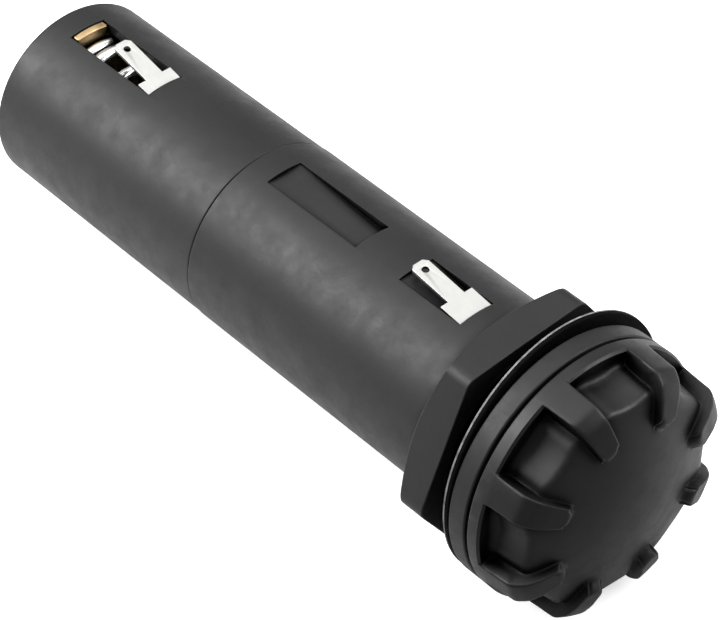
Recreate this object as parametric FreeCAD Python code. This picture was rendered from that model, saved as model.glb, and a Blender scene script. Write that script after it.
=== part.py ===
import FreeCAD, Part
import math
import os

# Panel-mount cartridge fuse holder, in millimetres.
# The barrel's axis is the Y axis: the knob is at -Y, the closed rear end at +Y.
# The origin is on that axis, in the plane where the gasket seats on the panel.
# The two solder and push-on tabs stand on the +Z side.
# Angles round the axis are counted from +Z towards -X.

V = FreeCAD.Vector
ORIGIN = V(0, 0, 0)
ALONG = V(0, 1, 0)

# Barrel, flange and thread
BARREL_R = 14.0
BORE_R = 11.2
FLANGE_R = 18.6
FLANGE_FRONT_Y = -4.44
FLANGE_REAR_Y = -1.54
EDGE = 0.3
RELIEF_R = 14.2
THREAD_R = 14.9
THREAD_ROOT_R = 14.2
THREAD_PITCH = 1.5
THREAD_START_Y = 1.3
THREAD_TURNS = 5
SEAM_Y = 55.3
SPIGOT_R = 12.2
SPIGOT_END_Y = 63.3

# Rear sleeve
SLEEVE_FRONT_R = 13.8
SLEEVE_REAR_R = 13.65
REAR_END_Y = 98.3
REAR_CORNER_R = 0.9
END_WALL = 1.5
REAR_BORE_R = 12.35
REAR_BORE_Y = 78.0
END_DISH_R = 9.0
END_DISH_DEPTH = 0.4

# Windows and pockets for the tabs, all on the +Z side
POCKET_HALF = 2.87
FRONT_POCKET_Y = (13.3, 24.8)
FRONT_SLOT_END_Y = 16.5
BLANK_POCKET_Y = (33.3, 51.0)
REAR_WINDOW_Y = (76.2, 93.7)
POCKET_SHALLOW_Z = 13.45
FRONT_RAMP_LOW_Z = 11.7
BLANK_RAMP_LOW_Z = 12.3

# Bayonet and key in the barrel's mouth
LUG_ANGLE = 24.0
LUG_R = 12.2
LUG_Y = (2.2, 4.4)
LUG_SIDE_GAP = 1.5
LUG_END_GAP = 0.3
CHANNEL_R = 12.35
TWIST = 42.0
KEY_HALF = 1.5
KEY_TIP_R = 12.1
KEY_Y = (6.2, 11.5)
KEYWAY_R = 12.25
KEYWAY_END_Y = 12.2

# Running and seating clearances, and how far a cutter passes the surface it cuts
RUN = 0.05
SEAT = 0.1
RIVET_FIT = 0.02
PAST = 1.0

# Contacts, terminals and rivets
CONTACT_OUT_R = 11.15
CONTACT_IN_R = 10.6
FRONT_CONTACT_Y = (8.2, 24.0)
FINGERS = 6
FINGER_ANGLE = 22.0
FINGER_TIP_R = (7.8, 8.3)
FINGER_TIP_Y = (15.6, 16.6)
REAR_CONTACT_Y = (64.0, 76.0)
REAR_LIP_R = 9.2
REAR_LIP_WALL = 0.8
STRIP = 0.5
FOOT_IN_R = 11.2
FOOT_HALF = 2.3
FOOT_LENGTH = 5.2
RECESS_R = 12.35
RECESS_GAP = 0.3
RIVET_R = 1.0
RIVET_HEAD_R = 1.7
RIVET_HEAD_Z = (11.72, 12.15)
RIVET_BACK = 2.9
TAB_TOP_Z = 13.4
TAB_HALF = 1.4
TAB_TIP_CHAMFER = 0.6
TAB_HOLE_R = 0.45
TAB_HOLE_INSET = 1.4

# Fuse, 14 x 51 pattern
FUSE_Y = (15.0, 66.0)
FUSE_CAP_R = 7.15
FUSE_CAP_LENGTH = 13.0
FUSE_CAP_WALL = 0.35
FUSE_CAP_END = 0.5
FUSE_TUBE_R = 6.75
FUSE_TUBE_BORE_R = 5.2
FUSE_TUBE_INSET = 1.2
INNER_CAP = (0.55, 1.15)
ELEMENT_HALF = (1.8, 0.1)
ELEMENT_NECKS = 5
ELEMENT_NECK_R = 1.2
ELEMENT_NECK_PITCH = 8.0

# Knob
KNOB_R = 18.6
KNOB_REAR_Y = -4.9
RIM_FRONT_Y = -7.0
CROWN_R = 15.8
CROWN_MID_R = 15.2
CROWN_ROUND = 1.4
DOME_Y = -15.74
DOME_SPHERE_R = 41.5
SCALLOP_R = 12.0
RIBS = 8
RIB_PHASE = 17.5
RIB_ANGLE = 13.0
RIB_ROOT_R = 10.0
RIB_ROOT_Y = -13.0
RIB_SIDE_END = (18.3, -11.9)
RIB_TOP_OUTER = (15.4, -14.3)
RIB_TOP_INNER = (12.3, -15.3)
RIB_NOSE = (11.1, -14.5)
RIB_SHOULDER_BOW = 0.45
RIB_NOSE_BOW = 0.2
SKIRT_HOLLOW_R = (12.3, 13.9)
SKIRT_HOLLOW_Y = -10.5
KNOB_SPIGOT_R = 11.1
KNOB_SPIGOT_END_Y = 5.0
KNOB_CAVITY_R = 8.3
KNOB_CAVITY_Y = -13.2
COLLAR_BORE_R = 9.0
COLLAR_Y = (-0.5, 2.3)
RING_Y = (2.45, 3.15)
RING_R = (8.1, 9.5)
RING_GAP_HALF = 1.2
SEAL_Y = -2.1
SEAL_R = 10.55
SEAL_WIRE_R = 0.62
SEAL_GROOVE_HALF = 0.75

# Carrier and clip
CARRIER_R = 7.7
CARRIER_BORE_R = 6.0
CARRIER_END_Y = 14.2
CARRIER_END_WALL = 2.0
CLIP_IN_R = 7.2
CLIP_OUT_R = 7.7
CLIP_Y = (14.25, 25.0)
CLIP_SLOTS = 6
CLIP_SLOT_HALF = 0.6
CLIP_SLOT_ROOT = 2.0
CLIP_RIVET_R = 1.2
CLIP_RIVET_HEAD_R = 2.4
CLIP_RIVET_HEAD = 0.7

# Plunger, spring and seat
PLUNGER_FLANGE_R = 10.5
PLUNGER_FLANGE_Y = (70.0, 71.2)
PLUNGER_BOSS_R = 5.0
PLUNGER_CHAMFER = 0.6
PLUNGER_NECK_WALL = 0.8
PLUNGER_NECK_LENGTH = 3.6
SPRING_FRONT_R = 9.3
SPRING_REAR_R = 11.3
SPRING_WIRE_R = 0.9
SPRING_CLOSED_PITCH = 1.95
SPRING_OPEN_PITCH = 4.6
SPRING_TOUCH = 0.02
SPRING_END_ANGLE = 11.0
SPRING_POINTS_PER_TURN = 16
SEAT_HOLE_R = 3.0
SEAT_FACE_Y = 92.45
SEAT_PLATE = 1.0
SEAT_R = 12.25
SEAT_SKIRT_WALL = 0.8
SEAT_LUG_HALF = 2.6
SEAT_LUG_R = 13.75
SEAT_LUG_LENGTH = 1.15

# Gasket and nut
GASKET_R = (15.0, 19.0)
GASKET_GAP = 0.02
NUT_AF = 33.8
NUT_Y = (2.74, 8.3)
NUT_PHASE = 4.0
NUT_BORE_R = 14.95
NUT_GROOVE_R = 15.5
NUT_GROOVES = 3
NUT_LAND = 0.6


def outline(start, *steps):
    """Closed face in the half plane (radius, y). A step is a point, or (through, end) for an arc."""
    edges = []
    here = V(start[0], start[1], 0)
    for step in steps:
        if isinstance(step[0], tuple):
            through, end = (V(p[0], p[1], 0) for p in step)
            edges.append(Part.Arc(here, through, end).toShape())
        else:
            end = V(step[0], step[1], 0)
            edges.append(Part.makeLine(here, end))
        here = end
    edges.append(Part.makeLine(here, V(start[0], start[1], 0)))
    return Part.Face(Part.Wire(edges))


def turned(*points):
    """Full turn of an outline about the axis."""
    return outline(*points).revolve(ORIGIN, ALONG, 360)


def placed(shape, angle):
    """Shape built on the +Z side, turned to an angle round the axis."""
    moved = shape.copy()
    moved.rotate(ORIGIN, ALONG, -angle)
    return moved


def sector(face, width, angle):
    """Part turn of an outline, of a given angular width, centred on an angle."""
    solid = face.revolve(ORIGIN, ALONG, width)
    solid.rotate(ORIGIN, ALONG, -90 - width / 2)
    return placed(solid, angle)


def cylinder(radius, y0, y1):
    return Part.makeCylinder(radius, y1 - y0, V(0, y0, 0), ALONG)


def tube(outer, inner, y0, y1):
    return turned((inner, y0), (outer, y0), (outer, y1), (inner, y1))


def ring_sector(outer, inner, y0, y1, width, angle):
    face = outline((inner, y0), (outer, y0), (outer, y1), (inner, y1))
    return sector(face, width, angle)


def block(half, y0, y1, z0, z1):
    """Box centred on X = 0."""
    return Part.makeBox(2 * half, y1 - y0, z1 - z0, V(-half, y0, z0))


def wedge(half, y0, y1, z_front, z_rear, z_top):
    """Cutter with a ramped floor from z_front at y0 to z_rear at y1."""
    corners = [V(-half, y0, z_front), V(-half, y1, z_rear), V(-half, y1, z_top), V(-half, y0, z_top)]
    return Part.Face(Part.makePolygon(corners + corners[:1])).extrude(V(2 * half, 0, 0))


def radial_hole(radius, y, z0, z1):
    return Part.makeCylinder(radius, z1 - z0, V(0, y, z0), V(0, 0, 1))


def bowed(start, end, bow):
    """Arc step from start to end whose middle stands off the chord by bow."""
    run_r, run_y = end[0] - start[0], end[1] - start[1]
    length = math.hypot(run_r, run_y)
    middle = ((start[0] + end[0]) / 2 - run_y * bow / length, (start[1] + end[1]) / 2 + run_r * bow / length)
    return middle, end


def thread_points(crest, root, y_start, count):
    """Trapezoid thread outline, drawn as rings one pitch apart."""
    points = []
    for turn in range(count):
        y = y_start + turn * THREAD_PITCH
        points += [(crest, y), (root, y + 0.45), (root, y + 0.75), (crest, y + 1.2)]
    return points


def foot_recess(y_front):
    """Room inside the wall for a terminal's foot and rivet head, open towards the tab."""
    y_rear = y_front + FOOT_LENGTH + 4 * RECESS_GAP
    ring = tube(RECESS_R, BORE_R - PAST, y_front, y_rear)
    return ring.common(block(FOOT_HALF + RECESS_GAP, y_front - PAST, y_rear + PAST, 0, BARREL_R))


def front_barrel():
    """Flanged front moulding: thread, bayonet mouth, tab pockets and the spigot for the rear sleeve."""
    thread = thread_points(THREAD_R, THREAD_ROOT_R, THREAD_START_Y, THREAD_TURNS)
    thread_end_y = THREAD_START_Y + THREAD_TURNS * THREAD_PITCH
    body = turned(
        (BORE_R + EDGE, FLANGE_FRONT_Y),
        (FLANGE_R - EDGE, FLANGE_FRONT_Y),
        (FLANGE_R, FLANGE_FRONT_Y + EDGE),
        (FLANGE_R, FLANGE_REAR_Y - EDGE),
        (FLANGE_R - EDGE, FLANGE_REAR_Y),
        (RELIEF_R, FLANGE_REAR_Y),
        (RELIEF_R, 0),
        (THREAD_R, 0),
        *thread,
        (BARREL_R, thread_end_y + THREAD_R - BARREL_R - EDGE),
        (BARREL_R, SEAM_Y - EDGE),
        (BARREL_R - EDGE / 2, SEAM_Y),
        (SPIGOT_R, SEAM_Y),
        (SPIGOT_R, SPIGOT_END_Y - EDGE),
        (SPIGOT_R - EDGE, SPIGOT_END_Y),
        (BORE_R, SPIGOT_END_Y),
        (BORE_R, FLANGE_FRONT_Y + EDGE),
    )
    top = BARREL_R + PAST
    inside = BORE_R - 2 * PAST
    cuts = [
        wedge(POCKET_HALF, *FRONT_POCKET_Y, FRONT_RAMP_LOW_Z, POCKET_SHALLOW_Z, top),
        block(POCKET_HALF, FRONT_POCKET_Y[0], FRONT_SLOT_END_Y, inside, top),
        wedge(POCKET_HALF, *BLANK_POCKET_Y, BLANK_RAMP_LOW_Z, POCKET_SHALLOW_Z, top),
        foot_recess(FRONT_POCKET_Y[0] - FOOT_LENGTH - RECESS_GAP),
        block(KEY_HALF + SEAT, FLANGE_FRONT_Y - PAST, KEYWAY_END_Y, -KEYWAY_R, -inside),
    ]
    entry = LUG_ANGLE + 2 * LUG_SIDE_GAP
    run = entry + TWIST
    y_run = (LUG_Y[0] - LUG_END_GAP, LUG_Y[1] + LUG_END_GAP)
    for side in (90, 270):
        cuts.append(ring_sector(CHANNEL_R, BORE_R - PAST, FLANGE_FRONT_Y - PAST, y_run[1], entry, side))
        cuts.append(ring_sector(CHANNEL_R, BORE_R - PAST, *y_run, run, side - TWIST / 2))
    return body.cut(cuts)


def rear_sleeve():
    """Closed rear tube that plugs over the barrel's spigot, with the open window for the rear tab."""
    round_off = REAR_CORNER_R * (1 - math.sqrt(0.5))
    corner = (SLEEVE_REAR_R - round_off, REAR_END_Y - round_off)
    inner_end = REAR_END_Y - END_WALL
    body = turned(
        (SPIGOT_R + RUN, SEAM_Y + RUN),
        (SLEEVE_FRONT_R - EDGE / 2, SEAM_Y + RUN),
        (SLEEVE_FRONT_R, SEAM_Y + EDGE),
        (SLEEVE_REAR_R, REAR_END_Y - REAR_CORNER_R),
        (corner, (SLEEVE_REAR_R - REAR_CORNER_R, REAR_END_Y)),
        (END_DISH_R + END_DISH_DEPTH, REAR_END_Y),
        (END_DISH_R, REAR_END_Y - END_DISH_DEPTH),
        (0, REAR_END_Y - END_DISH_DEPTH),
        (0, inner_end),
        (REAR_BORE_R, inner_end),
        (REAR_BORE_R, REAR_BORE_Y),
        (BORE_R, REAR_BORE_Y),
        (BORE_R, SPIGOT_END_Y + SEAT),
        (SPIGOT_R + RUN, SPIGOT_END_Y + SEAT),
    )
    window = block(POCKET_HALF, *REAR_WINDOW_Y, BORE_R - 2 * PAST, BARREL_R + PAST)
    recess = foot_recess(REAR_WINDOW_Y[0] - FOOT_LENGTH - RECESS_GAP)
    return body.cut([window, recess])


def panel_gasket():
    """Flat rubber washer between the flange and the panel."""
    inner, outer = GASKET_R
    front, rear = FLANGE_REAR_Y + GASKET_GAP, 0
    return turned(
        (inner, front), (outer - EDGE, front), (outer, front + EDGE),
        (outer, rear - EDGE / 2), (outer - EDGE / 2, rear), (inner, rear),
    )


def panel_nut():
    """Hexagonal nut, chamfered on its rear face, with thread grooves inside."""
    y0, y1 = NUT_Y
    half_side = math.pi / 6
    flat_r = NUT_AF / 2
    corner_r = flat_r / math.cos(half_side)
    corners = []
    for k in range(7):
        a = (2 * k + 1) * half_side
        corners.append(V(corner_r * math.sin(a), y0, corner_r * math.cos(a)))
    hexagon = placed(Part.Face(Part.makePolygon(corners)).extrude(V(0, y1 - y0, 0)), NUT_PHASE)
    rise = (corner_r - flat_r) * math.tan(half_side)
    turned_over = turned(
        (0, y0), (corner_r - EDGE, y0), (corner_r, y0 + EDGE),
        (corner_r, y1 - rise), (flat_r, y1), (0, y1),
    )
    nut = hexagon.common(turned_over)
    bore = cylinder(NUT_BORE_R, y0 - PAST, y1 + PAST)
    thread = thread_points(NUT_BORE_R, NUT_GROOVE_R, y0 + NUT_LAND, NUT_GROOVES)
    inside = NUT_BORE_R - PAST
    grooves = turned((inside, y0 + NUT_LAND), *thread, (inside, thread[-1][1]))
    return nut.cut([bore, grooves])


def dome_y(radius):
    """Height of the knob's dome at a radius."""
    return DOME_Y + DOME_SPHERE_R - math.sqrt(DOME_SPHERE_R ** 2 - radius ** 2)


def knob_cap():
    """Bayonet knob: scalloped crown with grip ribs, a hollow skirt and a spigot with two lugs."""
    round_y = dome_y(CROWN_R - CROWN_ROUND)
    diagonal = CROWN_ROUND * (1 - math.sqrt(0.5))
    base_y = RIM_FRONT_Y + 1
    crown = turned(
        (0, base_y),
        (CROWN_R, base_y),
        (CROWN_R, round_y + CROWN_ROUND),
        ((CROWN_R - diagonal, round_y + diagonal), (CROWN_R - CROWN_ROUND, round_y)),
        ((CROWN_R / 2, dome_y(CROWN_R / 2)), (0, DOME_Y)),
    )
    scallops = []
    for k in range(RIBS):
        foot = V(0, DOME_Y - PAST, CROWN_MID_R + SCALLOP_R)
        cutter = Part.makeCylinder(SCALLOP_R, RIM_FRONT_Y - DOME_Y + PAST, foot, ALONG)
        scallops.append(placed(cutter, RIB_PHASE + (k + 0.5) * 360 / RIBS))
    crown = crown.cut(scallops)
    rib_face = outline(
        (RIB_ROOT_R, base_y),
        (KNOB_R, base_y),
        RIB_SIDE_END,
        bowed(RIB_SIDE_END, RIB_TOP_OUTER, -RIB_SHOULDER_BOW),
        RIB_TOP_INNER,
        bowed(RIB_TOP_INNER, RIB_NOSE, -RIB_NOSE_BOW),
        (RIB_ROOT_R, RIB_ROOT_Y),
    )
    ribs = [sector(rib_face, RIB_ANGLE, RIB_PHASE + k * 360 / RIBS) for k in range(RIBS)]
    spigot = turned(
        (0, RIM_FRONT_Y),
        (KNOB_R - EDGE, RIM_FRONT_Y),
        (KNOB_R, RIM_FRONT_Y + EDGE),
        (KNOB_R, KNOB_REAR_Y - EDGE),
        (KNOB_R - EDGE, KNOB_REAR_Y),
        (KNOB_SPIGOT_R, KNOB_REAR_Y),
        (KNOB_SPIGOT_R, KNOB_SPIGOT_END_Y - EDGE),
        (KNOB_SPIGOT_R - EDGE, KNOB_SPIGOT_END_Y),
        (0, KNOB_SPIGOT_END_Y),
    )
    lugs = [
        ring_sector(LUG_R, KNOB_SPIGOT_R - PAST, *LUG_Y, LUG_ANGLE, side) for side in (90, 270)
    ]
    body = crown.fuse(ribs + [spigot] + lugs)
    groove_root = SEAL_R - SEAL_WIRE_R - RUN
    cuts = [
        tube(SKIRT_HOLLOW_R[1], SKIRT_HOLLOW_R[0], SKIRT_HOLLOW_Y, KNOB_REAR_Y + PAST),
        cylinder(KNOB_CAVITY_R, KNOB_CAVITY_Y, COLLAR_Y[0]),
        cylinder(COLLAR_BORE_R, COLLAR_Y[0] - SEAT, KNOB_SPIGOT_END_Y + PAST),
        cylinder(RING_R[1] + RUN, RING_Y[0] - SEAT, RING_Y[1] + SEAT),
        tube(KNOB_SPIGOT_R + PAST, groove_root, SEAL_Y - SEAL_GROOVE_HALF, SEAL_Y + SEAL_GROOVE_HALF),
    ]
    return body.cut(cuts).removeSplitter()


def cap_seal():
    """O-ring that seals the knob's spigot in the barrel's mouth."""
    return Part.makeTorus(SEAL_R, SEAL_WIRE_R, V(0, SEAL_Y, 0), ALONG)


def fuse_carrier():
    """Hollow carrier that stays aligned by its key while the knob turns round its collar."""
    body = turned(
        (CARRIER_BORE_R, COLLAR_Y[0]),
        (COLLAR_BORE_R - SEAT, COLLAR_Y[0]),
        (COLLAR_BORE_R - SEAT, COLLAR_Y[1]),
        (CARRIER_R, COLLAR_Y[1]),
        (CARRIER_R, CARRIER_END_Y),
        (0, CARRIER_END_Y),
        (0, CARRIER_END_Y - CARRIER_END_WALL),
        (CARRIER_BORE_R, CARRIER_END_Y - CARRIER_END_WALL),
    )
    key = block(KEY_HALF, *KEY_Y, -KEY_TIP_R, EDGE - CARRIER_R)
    hole = cylinder(CLIP_RIVET_R + RIVET_FIT, CARRIER_END_Y - CARRIER_END_WALL - PAST, CARRIER_END_Y + PAST)
    return body.fuse(key).cut(hole)


def carrier_ring():
    """Split steel ring that keeps the carrier's collar in the knob."""
    inner, outer = RING_R
    ring = tube(outer, inner, *RING_Y)
    return ring.cut(block(RING_GAP_HALF, RING_Y[0] - PAST, RING_Y[1] + PAST, 0, outer + PAST))


def fuse_clip():
    """Slotted bronze cup that grips the fuse's front cap."""
    y0, y1 = CLIP_Y
    hole_r = CLIP_RIVET_R + RIVET_FIT
    cup = turned(
        (hole_r, y0), (CLIP_OUT_R, y0), (CLIP_OUT_R, y1),
        (CLIP_IN_R, y1), (CLIP_IN_R, y0 + STRIP), (hole_r, y0 + STRIP),
    )
    slots = []
    for k in range(CLIP_SLOTS):
        slot = block(CLIP_SLOT_HALF, y0 + CLIP_SLOT_ROOT, y1 + PAST, CLIP_IN_R - PAST, CLIP_OUT_R + PAST)
        slots.append(placed(slot, (k + 0.5) * 360 / CLIP_SLOTS))
    return cup.cut(slots)


def clip_rivet():
    """Rivet through the clip's base and the carrier's end wall."""
    seat_y = CARRIER_END_Y - CARRIER_END_WALL - RIVET_FIT
    head = cylinder(CLIP_RIVET_HEAD_R, seat_y - CLIP_RIVET_HEAD, seat_y)
    shank = cylinder(CLIP_RIVET_R, seat_y - CLIP_RIVET_HEAD / 2, CLIP_Y[0] + STRIP + 2 * SEAT)
    return shank.fuse(head)


def fuse_cap(end_y, inward):
    """Pressed end cap whose closed end is at end_y and which reaches inward."""
    wall_y = end_y + inward * FUSE_CAP_END
    open_y = end_y + inward * FUSE_CAP_LENGTH
    return turned(
        (0, end_y), (FUSE_CAP_R - EDGE, end_y), (FUSE_CAP_R, end_y + inward * EDGE),
        (FUSE_CAP_R, open_y), (FUSE_CAP_R - FUSE_CAP_WALL, open_y),
        (FUSE_CAP_R - FUSE_CAP_WALL, wall_y), (0, wall_y),
    )


def fuse_front_cap():
    return fuse_cap(FUSE_Y[0], 1)


def fuse_rear_cap():
    return fuse_cap(FUSE_Y[1], -1)


def fuse_inner_caps():
    """Two discs inside the end caps that the element is welded to."""
    discs = []
    for end_y, inward in ((FUSE_Y[0], 1), (FUSE_Y[1], -1)):
        near, far = sorted(end_y + inward * depth for depth in INNER_CAP)
        discs.append(cylinder(FUSE_TUBE_R, near, far))
    return Part.makeCompound(discs)


def fuse_tube():
    """Ceramic body of the fuse."""
    return tube(FUSE_TUBE_R, FUSE_TUBE_BORE_R, FUSE_Y[0] + FUSE_TUBE_INSET, FUSE_Y[1] - FUSE_TUBE_INSET)


def element_strip(extra):
    """The element's plain strip, made larger by extra for the slot it lies in."""
    half_width, half_thick = (half + extra for half in ELEMENT_HALF)
    y0, y1 = FUSE_Y[0] + FUSE_TUBE_INSET, FUSE_Y[1] - FUSE_TUBE_INSET
    return block(half_width, y0, y1, -half_thick, half_thick)


def fuse_element():
    """Silver strip with necks that melt on overload."""
    middle = sum(FUSE_Y) / 2
    necks = []
    for k in range(ELEMENT_NECKS):
        y = middle + (k - (ELEMENT_NECKS - 1) / 2) * ELEMENT_NECK_PITCH
        neck = radial_hole(ELEMENT_NECK_R, y, -PAST, PAST)
        for side in (-1, 1):
            necks.append(neck.translated(V(side * ELEMENT_HALF[0], 0, 0)))
    return element_strip(0).cut(necks)


def fuse_filler():
    """Packed quartz sand round the element."""
    inset = FUSE_TUBE_INSET + RUN
    sand = cylinder(FUSE_TUBE_BORE_R - RUN, FUSE_Y[0] + inset, FUSE_Y[1] - inset)
    return sand.cut(element_strip(RUN))


def front_contact():
    """Split spring ring in the barrel whose six fingers press on the clip."""
    y0, y1 = FRONT_CONTACT_Y
    ring = tube(CONTACT_OUT_R, CONTACT_IN_R, y0, y1)
    tip_in, tip_out = FINGER_TIP_R
    root_r = CONTACT_OUT_R - 2 * SEAT
    finger = outline(
        (root_r, y1), (root_r, y1 - 2 * STRIP), (tip_out, FINGER_TIP_Y[0]),
        (tip_in, FINGER_TIP_Y[0]), (tip_in, FINGER_TIP_Y[1]), (CONTACT_IN_R - STRIP, y1),
    )
    fingers = [sector(finger, FINGER_ANGLE, (k + 0.5) * 360 / FINGERS) for k in range(FINGERS)]
    split = block(KEY_HALF + STRIP, y0 - PAST, y1 + PAST, -CONTACT_OUT_R - PAST, -tip_in)
    hole = rivet_hole(FRONT_POCKET_Y[0] + SEAT)
    return ring.fuse(fingers).cut([split, hole])


def rear_contact_sleeve():
    """Contact liner that the plunger slides in; its front lip stops the plunger."""
    y0, y1 = REAR_CONTACT_Y
    lip_y = y0 + REAR_LIP_WALL
    liner = turned(
        (REAR_LIP_R, y0), (CONTACT_OUT_R, y0), (CONTACT_OUT_R, y1),
        (CONTACT_IN_R, y1), (CONTACT_IN_R, lip_y), (REAR_LIP_R, lip_y),
    )
    return liner.cut(rivet_hole(REAR_WINDOW_Y[0] + 2 * SEAT))


def rivet_y(tab_y):
    """Where the rivet stands in a foot whose riser is at tab_y."""
    return tab_y - RIVET_BACK


def rivet_hole(tab_y):
    """Cutter for the rivet's hole through a contact and a foot."""
    return radial_hole(RIVET_R + RIVET_FIT, rivet_y(tab_y), FINGER_TIP_R[0], BARREL_R - PAST)


def terminal(tab_y, slope, cross_length, cross_half, blade_length):
    """Tab stamped from one strip: curved foot, riser, crossbar and a blade that leans outward."""
    total = cross_length + blade_length
    tip = TAB_HALF - TAB_TIP_CHAMFER
    outline_points = [
        (-cross_half, 0), (cross_half, 0), (cross_half, cross_length), (TAB_HALF, cross_length),
        (TAB_HALF, total - TAB_TIP_CHAMFER), (tip, total), (-tip, total),
        (-TAB_HALF, total - TAB_TIP_CHAMFER), (-TAB_HALF, cross_length), (-cross_half, cross_length),
    ]
    corners = [V(x, y, -STRIP) for x, y in outline_points]
    plate = Part.Face(Part.makePolygon(corners + corners[:1])).extrude(V(0, 0, STRIP))
    hole_y = total - TAB_HOLE_INSET
    plate = plate.cut(radial_hole(TAB_HOLE_R, hole_y, -PAST, PAST))
    plate.rotate(ORIGIN, V(1, 0, 0), slope)
    plate.translate(V(0, tab_y, TAB_TOP_Z))
    riser = block(cross_half, tab_y, tab_y + STRIP, FOOT_IN_R - PAST, TAB_TOP_Z - RUN)
    riser = riser.cut(cylinder(FOOT_IN_R, tab_y - PAST, tab_y + PAST))
    foot = tube(FOOT_IN_R + STRIP, FOOT_IN_R, tab_y - FOOT_LENGTH, tab_y + STRIP)
    foot = foot.common(block(FOOT_HALF, tab_y - FOOT_LENGTH, tab_y + STRIP, 0, BARREL_R))
    return plate.fuse([riser, foot.cut(rivet_hole(tab_y))]).removeSplitter()


def front_terminal():
    return terminal(FRONT_POCKET_Y[0] + SEAT, 8.7, 3.8, 2.7, 7.4)


def rear_terminal():
    return terminal(REAR_WINDOW_Y[0] + 2 * SEAT, 12.9, 2.3, 2.8, 7.5)


def terminal_rivets():
    """Two rivets that join each terminal's foot to its contact."""
    rivets = []
    for tab_y in (FRONT_POCKET_Y[0] + SEAT, REAR_WINDOW_Y[0] + 2 * SEAT):
        y = rivet_y(tab_y)
        shank = radial_hole(RIVET_R, y, CONTACT_IN_R + RUN, RIVET_HEAD_Z[1])
        rivets.append(shank.fuse(radial_hole(RIVET_HEAD_R, y, *RIVET_HEAD_Z)))
    return Part.makeCompound(rivets)


def contact_plunger():
    """Brass plunger: a boss that meets the fuse, a guided flange and a neck inside the spring."""
    y0, y1 = PLUNGER_FLANGE_Y
    front_y = FUSE_Y[1] + RUN
    neck_r = SPRING_FRONT_R - SPRING_WIRE_R - 2 * SEAT
    hollow_r = neck_r - PLUNGER_NECK_WALL
    neck_y = y1 + PLUNGER_NECK_LENGTH
    return turned(
        (0, front_y), (PLUNGER_BOSS_R - PLUNGER_CHAMFER, front_y),
        (PLUNGER_BOSS_R, front_y + PLUNGER_CHAMFER),
        (PLUNGER_BOSS_R, y0), (PLUNGER_FLANGE_R, y0), (PLUNGER_FLANGE_R, y1),
        (neck_r, y1), (neck_r, neck_y), (hollow_r, neck_y), (hollow_r, y1), (0, y1),
    )


def spring_rise(turn, total):
    """Rise of the wire's centre after a number of turns, with one closed turn at each end."""
    from_start = min(turn, 1.0) * SPRING_CLOSED_PITCH
    middle = min(max(turn - 1.0, 0.0), total - 2.0) * SPRING_OPEN_PITCH
    at_end = max(turn - (total - 1.0), 0.0) * SPRING_CLOSED_PITCH
    return from_start + middle + at_end


def contact_spring():
    """Conical compression spring between the plunger's flange and the wider spring seat."""
    y_start = PLUNGER_FLANGE_Y[1] + SPRING_WIRE_R + SPRING_TOUCH
    y_end = SEAT_FACE_Y - SPRING_WIRE_R - SPRING_TOUCH
    total = (y_end - y_start - 2 * SPRING_CLOSED_PITCH) / SPRING_OPEN_PITCH + 2.0
    count = round(total * SPRING_POINTS_PER_TURN)
    points = []
    for k in range(count + 1):
        turn = total * k / count
        # the last coil crosses the window and ends a little past +Z, towards +X
        angle = 2 * math.pi * (turn - total) + math.radians(SPRING_END_ANGLE)
        y = y_start + spring_rise(turn, total)
        opened = min(max(turn - 1.0, 0.0), total - 2.0) / (total - 2.0)
        radius = SPRING_FRONT_R + (SPRING_REAR_R - SPRING_FRONT_R) * opened
        points.append(V(radius * math.sin(angle), y, radius * math.cos(angle)))
    path = Part.BSplineCurve()
    path.interpolate(points)
    wire = Part.Wire(path.toShape())
    start_direction = path.tangent(path.FirstParameter)[0]
    section = Part.Wire(Part.makeCircle(SPRING_WIRE_R, points[0], start_direction))
    return wire.makePipeShell([section], True, True)


def spring_seat():
    """Brass cup in the closed end; its lug is bent up into the window once the cup is home."""
    y0 = SEAT_FACE_Y
    y1 = REAR_END_Y - END_WALL - RUN
    skirt_r = SEAT_R - SEAT_SKIRT_WALL
    cup = turned(
        (SEAT_HOLE_R, y0), (SEAT_R, y0), (SEAT_R, y1), (skirt_r, y1),
        (skirt_r, y0 + SEAT_PLATE), (SEAT_HOLE_R, y0 + SEAT_PLATE),
    )
    ring = tube(SEAT_LUG_R, SEAT_R - SEAT_SKIRT_WALL / 2, y0, y0 + SEAT_LUG_LENGTH)
    lug = ring.common(block(SEAT_LUG_HALF, y0 - PAST, y1, 0, BARREL_R))
    return cup.fuse(lug).removeSplitter()


NODES = (
    front_barrel,
    rear_sleeve,
    panel_gasket,
    panel_nut,
    front_contact,
    front_terminal,
    rear_contact_sleeve,
    rear_terminal,
    terminal_rivets,
    spring_seat,
    contact_spring,
    contact_plunger,
    knob_cap,
    cap_seal,
    fuse_carrier,
    carrier_ring,
    fuse_clip,
    clip_rivet,
    fuse_front_cap,
    fuse_rear_cap,
    fuse_inner_caps,
    fuse_tube,
    fuse_element,
    fuse_filler,
)

os.makedirs("parts", exist_ok=True)
for build in NODES:
    shape = build()
    shape.exportStep(f"parts/{build.__name__}.step")
    print(build.__name__, "solids", len(shape.Solids), "valid", shape.isValid())
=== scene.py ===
import math

import bmesh
import bpy
from mathutils import Matrix, Vector


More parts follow.
